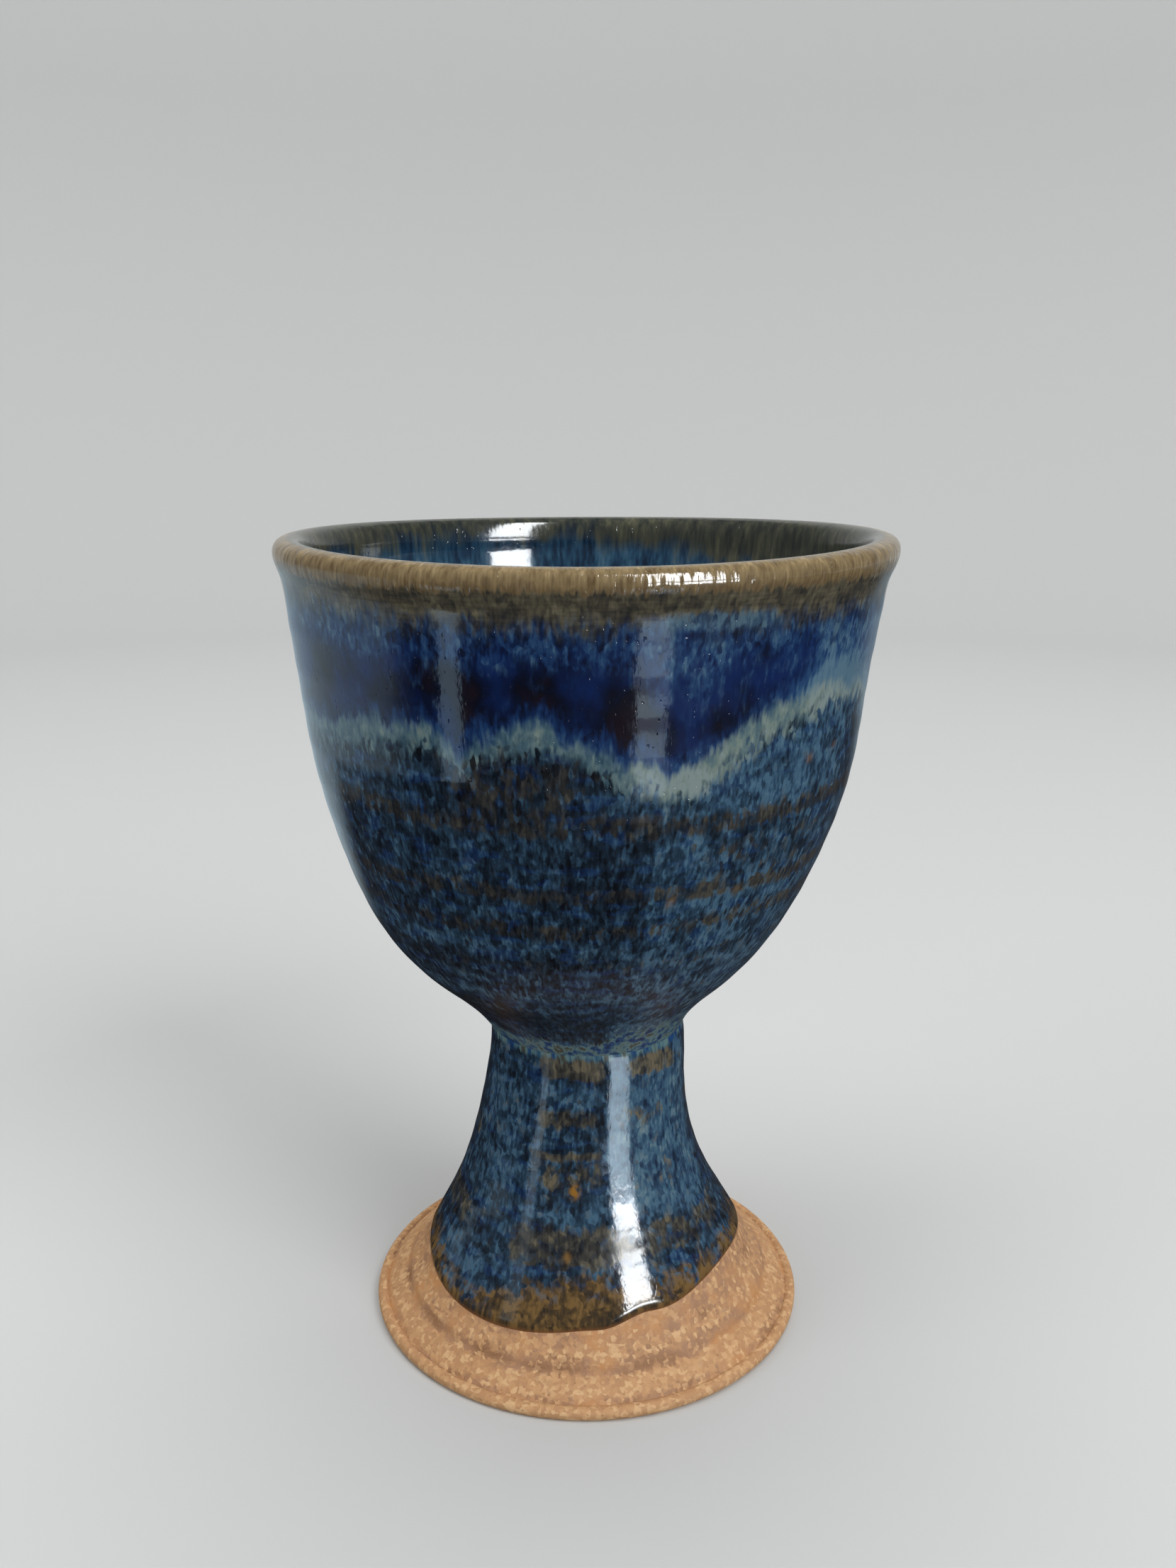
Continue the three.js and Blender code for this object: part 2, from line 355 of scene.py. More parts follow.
def stem_paint(degrees, z):
    """The pedestal's marks, and how far each point lies above its glaze's edge and its amber band."""
    above = z - round_loop(GLAZE_EDGE, DEGREES)[:, None]
    return {
        "brown": arcs(STEM_BROWN, degrees, z),
        "light": arcs(STEM_PALE_AND_LIT, degrees, z),
        "rust": rust(STEM_RUST, degrees, z, STEM_RUST_RADIUS),
        "above_edge": above,
        "above_amber": above - round_loop(AMBER_REACH, DEGREES)[:, None],
        "flow": flow(degrees, z, through(STEM, 1)[::-1]),
    }


# --- Pieces --------------------------------------------------------------------------------------


def lip_points():
    centre_r, centre_z = LIP_RADIUS + LIP_FLARE - LIP_HALF_WIDTH, HEIGHT - LIP_RISE
    turns = np.radians(np.linspace(10, 170, 7))
    return [(centre_r + LIP_HALF_WIDTH * math.cos(t), centre_z + LIP_RISE * math.sin(t)) for t in turns]


def bowl_surfaces():
    """The bowl's glazed surface from the joint over the lip to the middle of its floor, and the clay."""
    points = [(NECK_RADIUS, COAT_JOINT_Z), *BELLY, *lip_points(), *INSIDE, (0.0, BOWL_FLOOR_Z)]
    glazed = through(points, 0.45)
    glazed[-1] = 0, BOWL_FLOOR_Z
    clay = offset(glazed, GLAZE)
    clay[0] = NECK_RADIUS - GLAZE, COAT_JOINT_Z
    clay[-1] = 0, BOWL_FLOOR_Z - GLAZE
    return glazed, clay


glazed, clay = bowl_surfaces()
crest = int(np.argmax(glazed[:, 1]))
overdip_cut = int(np.argmin(abs(glazed[:crest, 1] - OVERDIP_Z)))
lip_cut = int(np.argmin(abs(glazed[:crest, 1] - LIP_BAND_Z)))
liner_cut = crest + int(np.argmin(abs(glazed[crest:, 1] - LIP_BAND_Z)))


def coat_outline(start, end):
    hidden = thinned(clay[start : end + 1], 8)
    return np.vstack([glazed[start : end + 1], hidden[::-1]])


def bowl_pieces():
    base_outline, over_outline = coat_outline(0, overdip_cut), coat_outline(overdip_cut, lip_cut)
    base = turned("bowl_base_coat", base_outline, "bowl_base_glaze", bowl_paint)
    over = turned("bowl_overdip_coat", over_outline, "bowl_overdip_glaze", bowl_paint)
    lip = turned("lip_coat", coat_outline(lip_cut, liner_cut), "lip_glaze", bowl_paint)
    hidden = thinned(clay[liner_cut:], 8)
    liner_outline = np.vstack([hidden[::-1], glazed[liner_cut:]])
    liner = turned("bowl_liner_coat", liner_outline, "bowl_liner_glaze")
    base_disc = [(0.0, BOWL_BASE_Z), (NECK_RADIUS - GLAZE - NECK_UNDERCUT, BOWL_BASE_Z)]
    body = turned("bowl_clay", np.vstack([base_disc, thinned(clay, 6)]), "bowl_body")
    return base, over, lip, liner, body


def foot_bead():
    centre_r, r = FOOT_RADIUS - FOOT_BEAD_RADIUS, FOOT_BEAD_RADIUS
    turns = np.linspace(2 * math.pi / 3, -math.pi / 2, 12)
    return [(centre_r + r * math.cos(t), r + r * math.sin(t)) for t in turns]


def hollow_outline():
    mouth = FOOT_RADIUS - FOOT_BEAD_RADIUS - FOOT_RING_WIDTH
    return through([(mouth, 0), (22.6, 12), (14.6, 30), (HOLLOW_TOP_RADIUS, PEDESTAL_TOP_Z)], 1.5)


def foot_outline():
    tiers = through([STEM[-1], *TIERS], 0.3)[1:]
    return np.vstack([tiers, foot_bead()])


def pedestal_pieces():
    stem = through(STEM, 0.5)
    body_outline = np.vstack([thinned(stem, 4), foot_outline(), hollow_outline()])[::-1]
    body = turned("pedestal_clay", body_outline, "pedestal_body")
    neck = NECK_RADIUS - GLAZE
    middle = (BOWL_BASE_Z + PEDESTAL_TOP_Z) / 2
    edge = [(neck, PEDESTAL_TOP_Z), (neck + SLIP_BULGE, middle), (neck - NECK_UNDERCUT, BOWL_BASE_Z)]
    ring = [(HOLLOW_TOP_RADIUS, BOWL_BASE_Z), (HOLLOW_TOP_RADIUS, PEDESTAL_TOP_Z), *edge]
    slip = turned("slip_ring", ring, "luting_slip")
    glaze = turned("pedestal_coat", stem_coat(edge), "pedestal_glaze", stem_paint)
    return body, slip, glaze


def stem_coat(edge):
    """Per angle, the glaze from the joint down to its wavy edge, where it thins quickly to nothing."""
    clay_curve = np.vstack([[edge[2], edge[1]], through([*STEM, *TIERS[:3]], 0.3)])
    smooth_neck = through([(NECK_RADIUS, COAT_JOINT_Z), (17.3, 53.3), (17.5, 50.0), (17.9, 46.0)], 0.3)
    lines = round_loop(GLAZE_EDGE, DEGREES)
    outlines = []
    for line in lines:
        z = np.r_[np.linspace(clay_curve[0, 1], line + 3, 96), np.linspace(line + 2.8, line, 22)]
        covered = np.stack([np.interp(z, clay_curve[::-1, 1], clay_curve[::-1, 0]), z], 1)
        rise = np.clip((z - line) / GLAZE_ROLL, 0, 1)
        depth = GLAZE * (1 - (1 - rise) ** 2)
        surface = offset(covered, depth[:, None])
        neck = np.interp(surface[:, 1], smooth_neck[::-1, 1], smooth_neck[::-1, 0])
        share = smoothstep(46, 52, surface[:, 1])
        surface[:, 0] += share * (neck - surface[:, 0])
        hidden = np.vstack([[(NECK_RADIUS - GLAZE, COAT_JOINT_Z)], thinned(covered[:-1], 6)])
        outlines.append(np.vstack([hidden, surface[::-1], [(NECK_RADIUS, COAT_JOINT_Z)]]))
    return np.array(outlines)


# --- Materials -----------------------------------------------------------------------------------


def srgb(r, g, b):
    """A colour given as 8-bit sRGB, in the linear values that the shader takes."""
    return tuple(linear(value / 255) for value in (r, g, b)) + (1.0,)


def linear(value):
    return ((value + 0.055) / 1.055) ** 2.4 if value > 0.04 else value / 12.92


def grey(value):
    return (value, value, value, 1.0)


class Recipe:
    """One procedural material. Its methods add nodes and return an output; flecks returns two."""

    def __init__(self, name, flowing=False, **plain):
        self.material = bpy.data.materials.new(name)
        self.material.use_nodes = True
        self.tree = self.material.node_tree
        self.shader = self.tree.nodes["Principled BSDF"]
        for socket, value in plain.items():
            self.shader.inputs[socket.replace("_", " ")].default_value = value
        self.object = self.tree.nodes.new("ShaderNodeTexCoord").outputs["Object"]
        self.place = self.object
        if flowing:
            node = self.tree.nodes.new("ShaderNodeAttribute")
            node.attribute_name = "flow"
            self.place = node.outputs["Vector"]

    def feed(self, socket, value):
        if isinstance(value, bpy.types.NodeSocket):
            self.tree.links.new(value, socket)
        else:
            socket.default_value = value

    def math(self, operation, a, b=0.0, clamp=False):
        node = self.tree.nodes.new("ShaderNodeMath")
        node.operation = operation
        node.use_clamp = clamp
        self.feed(node.inputs[0], a)
        self.feed(node.inputs[1], b)
        return node.outputs[0]

    def add(self, a, b):
        return self.math("ADD", a, b)

    def times(self, a, b):
        return self.math("MULTIPLY", a, b)

    def between(self, value, start, end):
        """0 below start, 1 above end, smooth between; start may be the larger."""
        node = self.tree.nodes.new("ShaderNodeMapRange")
        node.interpolation_type = "SMOOTHSTEP"
        self.feed(node.inputs["Value"], value)
        node.inputs["From Min"].default_value = start
        node.inputs["From Max"].default_value = end
        return node.outputs["Result"]

    def stretched(self, x, y, z, shift=0.0):
        """The texture space scaled along each axis; another shift gives another pattern."""
        node = self.tree.nodes.new("ShaderNodeMapping")
        node.inputs["Scale"].default_value = (x, y, z)
        node.inputs["Location"].default_value = (shift, shift * 0.7, -shift)
        self.feed(node.inputs["Vector"], self.place)
        return node.outputs["Vector"]

    def noise(self, size_mm, tall=1.0, detail=2.0, shift=0.0):
        """Soft noise about 0.5, with blotches size_mm wide and `tall` times as high."""
        node = self.tree.nodes.new("ShaderNodeTexNoise")
        node.inputs["Scale"].default_value = 1.0
        node.inputs["Detail"].default_value = detail
        across = 1000 / size_mm
        self.feed(node.inputs["Vector"], self.stretched(across, across, across / tall, shift))
        return node.outputs["Fac"]

    def flecks(self, width_mm, tall, shift=0.0, soft=0.35):
        """Upright flecks packed side by side: two random numbers for each."""
        across = 1000 / width_mm
        where = self.stretched(across, across, across / tall, shift)
        warp = self.tree.nodes.new("ShaderNodeTexNoise")
        warp.inputs["Scale"].default_value = 0.7
        warp.inputs["Detail"].default_value = 2.0
        self.feed(warp.inputs["Vector"], where)
        moved = self.tree.nodes.new("ShaderNodeVectorMath")
        moved.operation = "MULTIPLY_ADD"
        self.feed(moved.inputs[0], warp.outputs["Color"])
        moved.inputs[1].default_value = (1.6, 1.6, 1.6)
        self.feed(moved.inputs[2], where)
        cell = self.tree.nodes.new("ShaderNodeTexVoronoi")
        cell.feature = "SMOOTH_F1"
        cell.inputs["Scale"].default_value = 1.0
        cell.inputs["Smoothness"].default_value = soft
        self.feed(cell.inputs["Vector"], moved.outputs[0])
        parts = self.tree.nodes.new("ShaderNodeSeparateColor")
        self.feed(parts.inputs[0], cell.outputs["Color"])
        return parts.outputs[0], parts.outputs[1]

    def fact(self, name):
        """A number that the mesh holds for each vertex."""
        node = self.tree.nodes.new("ShaderNodeAttribute")
        node.attribute_name = name
        return node.outputs["Fac"]

    def along(self, x, y, z):
        """How far each point lies from the foot's centre in one direction, in millimetres."""
        node = self.tree.nodes.new("ShaderNodeVectorMath")
        node.operation = "DOT_PRODUCT"
        self.feed(node.inputs[0], self.object)
        node.inputs[1].default_value = (1000 * x, 1000 * y, 1000 * z)
        return node.outputs["Value"]

    def height(self):
        return self.along(0, 0, 1)

    def radius(self):
        """Distance from the axis in millimetres."""
        node = self.tree.nodes.new("ShaderNodeVectorMath")
        node.operation = "LENGTH"
        flat = self.tree.nodes.new("ShaderNodeVectorMath")
        flat.operation = "MULTIPLY"
        self.feed(flat.inputs[0], self.object)
        flat.inputs[1].default_value = (1000.0, 1000.0, 0.0)
        self.feed(node.inputs[0], flat.outputs[0])
        return node.outputs["Value"]

    def ramp(self, value, stops):
        """Colours at places from 0 to 1."""
        node = self.tree.nodes.new("ShaderNodeValToRGB")
        elements = node.color_ramp.elements
        while len(elements) < len(stops):
            elements.new(0.5)
        for element, (position, colour) in zip(elements, stops):
            element.position = position
            element.color = colour
        self.feed(node.inputs["Fac"], value)
        return node.outputs["Color"]

    def bands(self, place, stops):
        """Colours at places in millimetres, the lowest first."""
        bottom, top = stops[0][0], stops[-1][0]
        node = self.tree.nodes.new("ShaderNodeMapRange")
        self.feed(node.inputs["Value"], place)
        node.inputs["From Min"].default_value = bottom
        node.inputs["From Max"].default_value = top
        return self.ramp(node.outputs["Result"], [((z - bottom) / (top - bottom), c) for z, c in stops])

    def mix(self, amount, a, b):
        """From one colour to another: a where the amount is 0, b where it is 1."""
        node = self.tree.nodes.new("ShaderNodeMix")
        node.data_type = "RGBA"
        factor, first, second = node.inputs[0], node.inputs[6], node.inputs[7]
        self.feed(factor, amount)
        self.feed(first, a)
        self.feed(second, b)
        return node.outputs[2]

    def finish(self, colour, roughness, bump=None, depth_mm=0.02):
        self.feed(self.shader.inputs["Base Color"], colour)
        self.feed(self.shader.inputs["Roughness"], roughness)
        if bump is not None:
            node = self.tree.nodes.new("ShaderNodeBump")
            node.inputs["Distance"].default_value = depth_mm * MM
            self.feed(node.inputs["Height"], bump)
            self.feed(self.shader.inputs["Normal"], node.outputs["Normal"])
        return self.material


def palette(*colours):
    """Ramp stops for colours spread evenly from the darkest flecks to the lightest."""
    places = np.linspace(0.1, 0.9, len(colours))
    return [(float(place), srgb(*colour)) for place, colour in zip(places, colours)]


BLUE_FLECKS = palette((7, 11, 18), (14, 24, 35), (22, 36, 50), (32, 52, 70), (46, 73, 95), (66, 97, 120))
# A lighter copy of the blues for the lamp-lit right side: painted light.
LIT_SIDE_FLECKS = palette((24, 38, 58), (37, 59, 84), (50, 78, 103), (64, 97, 120), (88, 116, 132),
                        (112, 132, 138))
BROWN_FLECKS = palette((13, 14, 18), (24, 25, 28), (35, 36, 37), (45, 45, 45), (56, 55, 52), (72, 70, 64))
UPPER_FLECKS = palette((11, 20, 36), (21, 33, 50), (30, 45, 66), (40, 59, 82), (54, 77, 99), (74, 99, 115))
RICH_FLECKS = palette((9, 20, 46), (15, 36, 74), (24, 53, 95), (38, 70, 108), (60, 92, 122),
                      (84, 114, 134))
PALE_FLECKS = palette((34, 56, 78), (50, 76, 92), (70, 95, 106), (92, 114, 118), (112, 128, 122),
                      (126, 142, 140))
JOINT_FLECKS = palette((16, 44, 84), (22, 62, 116), (56, 92, 112), (96, 124, 128), (86, 108, 108),
                       (72, 72, 62))
OLIVE_FLECKS = palette((25, 28, 31), (47, 46, 42), (68, 64, 54), (88, 83, 68), (114, 107, 87))
LIP_FLECKS = palette((66, 50, 32), (96, 78, 52), (116, 99, 70), (132, 114, 82), (158, 138, 102))
AMBER_FLECKS = palette((26, 27, 29), (40, 36, 31), (62, 50, 34), (86, 67, 40), (116, 90, 52))
INNER_BLUE = palette((16, 34, 52), (28, 54, 78), (40, 74, 98), (60, 92, 114), (84, 112, 126))
INNER_OLIVE = palette((36, 40, 38), (54, 57, 50), (72, 73, 60), (94, 92, 74))
RING_FLECKS = palette((20, 20, 23), (35, 34, 34), (49, 48, 46), (64, 62, 56), (82, 78, 66), (104, 96, 78))
OVERDIP_BLOTS = [(0.38, srgb(10, 33, 80)), (0.52, srgb(7, 20, 52)), (0.62, srgb(7, 11, 27)),
                 (0.72, srgb(22, 14, 24))]
LIP_BROWN = srgb(66, 50, 34)
EDGE_BROWN = srgb(118, 78, 48)
RUST = srgb(150, 106, 34)


def fleck_colours(m, light, brown, broken=BROWN_FLECKS, wide=0.7, tall=2.2):
    """The floating blue: upright hairs and flecks of many blues, brown where the glaze broke, and a lighter
    copy of the blues as painted light where the light arcs are strong.
    """
    one, two = m.flecks(wide, tall)
    hair = m.add(m.noise(wide * 0.7, 4.0, 3.0, 3.0), -0.5)
    cluster = m.add(m.noise(2.0, 1.2, 2.0, 5.0), -0.5)
    cloud = m.add(m.noise(7.0, 0.6, 2.0, 9.0), -0.5)
    tone = m.add(m.times(one, 0.42), m.times(hair, 0.9))
    tone = m.add(tone, m.add(m.times(cluster, 0.75), m.times(cloud, 0.5)))
    tone = m.add(m.add(tone, 0.28), m.times(light, 0.42))
    share = m.add(m.add(brown, m.times(cluster, 1.4)), m.add(m.times(two, -0.6), -0.2))
    rich = m.times(m.between(m.noise(4.0, 0.4, 2.0, 71.0), 0.5, 0.64), 0.6)
    blue = m.mix(rich, m.ramp(tone, BLUE_FLECKS), m.ramp(tone, RICH_FLECKS))
    # Painted light: where the light arcs are strong, mostly on the lamp-lit right side, a lighter lit copy
    # of the blues takes over.
    lit_blue = m.ramp(m.add(tone, -0.38), LIT_SIDE_FLECKS)
    blue = m.mix(m.between(light, 0.45, 0.95), blue, lit_blue)
    colour = m.mix(m.between(share, -0.3, 0.3), blue, m.ramp(tone, broken))
    return colour, tone, two


def joint_colours(m, hair):
    """Round the joint: pale green with pools of clear blue and a little brown."""
    pools = m.add(m.times(m.noise(2.6, 0.6, 2.0, 92.0), 2.2), -0.6)
    return m.ramp(m.add(pools, m.times(hair, 0.6)), JOINT_FLECKS)


def inner_colours(m):
    """Inside the bowl: long blue streaks, olive towards the lip, and olive lower on the right as a painted
    reflection.
    """
    place, m.place = m.place, m.object
    streak = m.add(m.noise(1.3, 7.0, 2.0, 8.0), -0.5)
    cloud = m.add(m.noise(9.0, 1.0, 2.0, 13.0), -0.5)
    hair = m.add(m.noise(0.5, 8.0, 2.0, 3.0), -0.5)
    m.place = place
    tone = m.add(m.add(m.times(streak, 1.3), m.times(cloud, 0.8)), m.add(m.times(hair, 0.5), 0.46))
    edge = m.add(m.add(m.height(), m.times(streak, 5.0)), m.times(cloud, 12.0))
    # Painted reflection: on the right (+X) the olive reaches 4 mm lower, standing in for a grey veil
    # reflected there.
    edge = m.add(edge, m.times(m.between(m.along(1, 0, 0), 0.0, 40.0), 4.0))
    return m.mix(m.between(edge, 133.4, 137.4), m.ramp(tone, INNER_BLUE), m.ramp(tone, INNER_OLIVE))


class BowlGlaze(Recipe):
    """The outside of the bowl, in layers of colour from the joint up to the lip."""

    def __init__(self, name):
        super().__init__(name, flowing=True, IOR=1.5)
        # The light arcs hold paler glaze and painted light: the lamp-lit right side painted lighter, a
        # painted highlight at the pale run's tip and painted shade on the lower left. The layers below
        # lighten or shift with them.
        self.light = self.fact("light")
        self.colour, self.tone, two = fleck_colours(self, self.light, self.fact("brown"))
        self.fleck = self.add(two, -0.5)
        self.hair = self.add(self.noise(0.6, 6.0, 2.0, 2.0), -0.5)
        self.fine = self.add(self.noise(0.32, 12.0, 2.0, 61.0), -0.5)
        self.wander = self.add(self.noise(3.0, 1.4, 2.0, 6.0), -0.5)
        self.feather = self.add(self.times(self.hair, 5.0), self.times(self.wander, 4.0))

    def cover(self, share, colour):
        """Lays a colour over the glaze so far, where the share is 1."""
        self.colour = self.mix(share, self.colour, colour)

    def rust_and_joint(self):
        self.cover(self.times(self.fact("rust"), self.between(self.wander, -0.3, 0.1)), RUST)
        ragged = self.add(self.times(self.wander, 5.0), self.times(self.hair, 3.0))
        joint = self.add(self.add(self.height(), self.times(self.light, -2.5)), ragged)
        self.cover(self.between(joint, 58.6, 57.0), joint_colours(self, self.hair))

    def pale_run(self):
        above = self.add(self.fact("above_pale"), self.times(self.feather, 0.9))
        above = self.add(above, self.times(self.fleck, 3.0))
        tone = self.add(self.times(self.tone, 0.5), self.times(self.noise(1.6, 2.0, 3.0, 12.0), 0.95))
        # Painted highlight: where the light arcs are high, as at the pale run's tip, the run is painted
        # paler.
        tone = self.add(tone, self.add(self.times(self.light, 0.3), -0.22))
        self.cover(self.between(above, -1.2, 2.2), self.ramp(tone, PALE_FLECKS))

    def overdip(self):
        """Clear blue above the pale run, and the dark glaze above that, with lighter patches."""
        above_dark = self.add(self.fact("above_dark"), self.feather)
        above_blue = self.add(self.fact("above_blue"), self.times(self.feather, 0.8))
        depth = self.between(above_dark, 0.5, -6.0)
        clear = self.add(self.times(self.tone, 0.5), self.times(depth, 0.5))
        self.cover(self.between(above_blue, -1.4, 1.0), self.ramp(clear, RICH_FLECKS))
        blot = self.add(self.noise(6.0, 1.4, 3.0, 18.0), self.times(self.light, -0.8))
        lift = self.times(self.add(self.hair, self.wander), 0.8)
        # The dark glaze lifts to lighter blue where the light arcs are high, which on the lamp-lit right
        # side is painted light.
        lift = self.between(self.add(lift, self.times(self.light, 0.8)), 0.05, 0.6)
        patch = self.add(self.add(self.times(self.tone, 0.8), 0.1), self.times(self.light, -0.3))
        dark = self.mix(lift, self.ramp(blot, OVERDIP_BLOTS), self.ramp(patch, RICH_FLECKS))
        self.cover(self.between(above_dark, -1.4, 1.4), dark)

    def upper_bands(self):
        """Mottled blue, and olive under the lip, each with a ragged lower edge."""
        ragged = self.add(self.times(self.wander, 9.0), self.times(self.hair, 6.0))
        height = self.add(self.height(), self.add(self.light, ragged))
        deep = self.ramp(self.add(self.tone, -0.12), RICH_FLECKS)
        self.cover(self.between(height, 123.5, 129.5), deep)
        self.cover(self.between(height, 127.5, 133.0), self.ramp(self.tone, UPPER_FLECKS))
        ragged = self.add(self.times(self.wander, 3.0), self.times(self.hair, 4.0))
        edge = self.add(self.add(self.height(), ragged), self.times(self.fleck, 1.5))
        edge = self.add(edge, self.times(self.light, -3.0))
        streaks = self.add(self.times(self.tone, 0.6), self.times(self.noise(4.0, 0.14, 2.0, 44.0), 0.45))
        self.cover(self.between(edge, 129.6, 133.8), self.ramp(streaks, OLIVE_FLECKS))

    def lip(self):
        """Tan on the lip, darker in blotches at its lower edge. Returns where it lies."""
        ragged = self.add(self.wander, self.times(self.hair, 3.0))
        at_lip = self.between(self.add(self.height(), ragged), 135.6, 136.6)
        blotch = self.noise(1.5, 2.4, 2.0, 41.0)
        tan = self.add(self.times(self.fine, 0.8), self.times(blotch, 1.2))
        self.cover(at_lip, self.ramp(tan, LIP_FLECKS))
        lower = self.between(self.add(self.height(), self.times(blotch, -12.0)), 132.0, 129.6)
        self.cover(self.times(self.times(lower, at_lip), 0.6), LIP_BROWN)
        return at_lip

    def inside(self):
        """The lining's colours past the crest. Returns where they lie."""
        within = self.between(self.radius(), 48.9, 47.7)
        inside = self.times(within, self.between(self.height(), 131.0, 133.0))
        self.cover(inside, inner_colours(self))
        return inside

    def surface(self, at_lip, inside):
        """Glossy, duller on the underside of the bowl; grooves on the lip, waves and pits all over."""
        below = self.between(self.height(), 86.0, 73.0)
        duller = self.add(self.times(at_lip, 0.03), self.times(below, 0.3))
        rough = self.add(self.add(0.05, self.times(self.tone, 0.08)), duller)
        ridges = self.times(self.add(self.noise(1.6, 5.0, 2.0, 83.0), -0.5), 10.0)
        grooves = self.add(self.times(self.fine, 1.5), ridges)
        outside = self.math("SUBTRACT", at_lip, inside, clamp=True)
        pits = self.times(self.between(self.noise(0.6, 2.0, 1.0, 97.0), 0.7, 0.78), -2.0)
        waves = self.add(self.noise(2.2, 1.0, 2.0, 50.0), self.times(outside, grooves))
        relief = self.add(self.add(self.times(self.tone, 0.3), pits), waves)
        return self.finish(self.colour, rough, relief, 0.025)


def bowl_glaze(name):
    m = BowlGlaze(name)
    m.rust_and_joint()
    m.pale_run()
    m.overdip()
    m.upper_bands()
    at_lip = m.lip()
    return m.surface(at_lip, m.inside())


def liner_glaze():
    """The bowl's lining."""
    m = Recipe("liner_glaze", IOR=1.5)
    return m.finish(inner_colours(m), 0.08, m.noise(2.2, 1.0, 2.0, 50.0), 0.02)


def stem_glaze():
    """The pedestal: bands of blue and brown, amber where the glaze thins above its edge."""
    m = Recipe("stem_glaze", flowing=True, IOR=1.5)
    brown = m.fact("brown")
    # The stem's light arcs include painted light: its lamp-lit right side turns to the lighter lit blues.
    colour, tone, two = fleck_colours(m, m.fact("light"), brown, RING_FLECKS, 0.85, 1.5)
    wander = m.noise(1.0, 1.2, 2.0, 66.0)
    colour = m.mix(m.times(m.fact("rust"), m.between(wander, 0.3, 0.5)), colour, RUST)
    ragged = m.add(m.times(two, 3.0), m.times(m.noise(3.0, 1.4, 2.0, 7.0), 9.0))
    amber = m.add(m.fact("above_amber"), m.add(ragged, -6.0))
    thin = m.ramp(m.add(tone, m.times(wander, 0.3)), AMBER_FLECKS)
    colour = m.mix(m.between(amber, 2.0, -2.0), colour, thin)
    colour = m.mix(m.times(m.between(m.fact("above_edge"), 0.8, 0.0), 0.8), colour, EDGE_BROWN)
    hair = m.add(m.noise(0.7, 2.0, 2.0, 2.0), -0.5)
    joint = m.add(m.height(), m.add(m.times(wander, -3.0), m.times(hair, 2.0)))
    colour = m.mix(m.between(joint, 51.6, 52.6), colour, joint_colours(m, hair))
    waves = m.add(m.noise(2.0, 1.0, 2.0, 50.0), m.noise(6.0, 0.35, 1.0, 29.0))
    relief = m.add(m.times(tone, 0.4), waves)
    rough = m.add(m.add(0.05, m.times(tone, 0.08)), m.times(m.between(brown, 0.1, 0.9), 0.1))
    return m.finish(colour, rough, relief, 0.035)


def stoneware():
    """Bare fired clay: buff grains on brown, in rings left by throwing, smoother under the glaze; the bare
    brown ring at the step between the tiers is painted shade.
    """
    m = Recipe("stoneware", Specular_IOR_Level=0.2)
    patch = m.noise(8.0, 1.0, 3.0, 3.0)
    ground = [(0.36, srgb(152, 112, 80)), (0.5, srgb(166, 126, 96)), (0.64, srgb(190, 138, 90))]
    one, two = m.flecks(0.75, 1.0, 11.0, 0.4)
    grain = [(0.2, srgb(182, 138, 98)), (0.6, srgb(196, 152, 108)), (0.9, srgb(210, 170, 126))]
    radius = m.add(m.radius(), m.times(m.add(m.noise(3.0, 1.0, 2.0, 31.0), -0.5), 1.2))
    # Share of pale grains by radius in millimetres: the 0 at 33.4 mm, at the step between the tiers, is
    # painted shade; the low values from 36.8 to 37.4 mm give a darker ring before the bead.
    clay_rings_and_shade = [(29, 0.35), (30.4, 0.2), (31.4, 0.6), (32.6, 0.3), (33.4, 0.0), (34.2, 0.75), (36, 1.0),
             (36.8, 0.4), (37.4, 0.2), (37.8, 1.0), (39.3, 1.0)]
    rings = m.bands(radius, [(place, grey(value)) for place, value in clay_rings_and_shade])
    share = m.between(m.add(rings, m.times(two, -1.0)), -0.5, 0.2)
    colour = m.mix(share, m.ramp(patch, ground), m.ramp(one, grain))
    specks = m.between(m.noise(0.5, 1.0, 1.0, 17.0), 0.68, 0.76)
    colour = m.mix(m.times(specks, 0.5), colour, srgb(112, 82, 58))
    relief = m.add(m.noise(0.4, 1.0, 3.0, 23.0), m.times(one, 0.5))
    return m.finish(colour, 0.75, relief, 0.12)


def paint_pieces():
    """Makes the pieces and gives each its material."""
    base, over, lip, liner, body = bowl_pieces()
    foot, slip, stem = pedestal_pieces()
    clay_material = stoneware()
    for piece, material in (
        (base, bowl_glaze("floating_blue_glaze")),
        (over, bowl_glaze("overdip_glaze")),
        (lip, bowl_glaze("lip_glaze")),
        (liner, liner_glaze()),
        (stem, stem_glaze()),
        (body, clay_material),
        (foot, clay_material),
        (slip, clay_material),
    ):
        piece.data.materials.append(material)


# --- Studio --------------------------------------------------------------------------------------


def camera():
    """Just above the lip and about two bowl widths from the axis, tipped down to take in the foot."""
    data = bpy.data.cameras.new("camera")
    data.sensor_width = 36
    data.lens = 30.92
    data.clip_start = 0.01
    eye = bpy.data.objects.new("camera", data)
    eye.location = (0.0004, -0.2253, 0.1562)
    eye.rotation_euler = (math.radians(90 - 14.61), 0, 0)
    bpy.context.scene.collection.objects.link(eye)
    bpy.context.scene.camera = eye


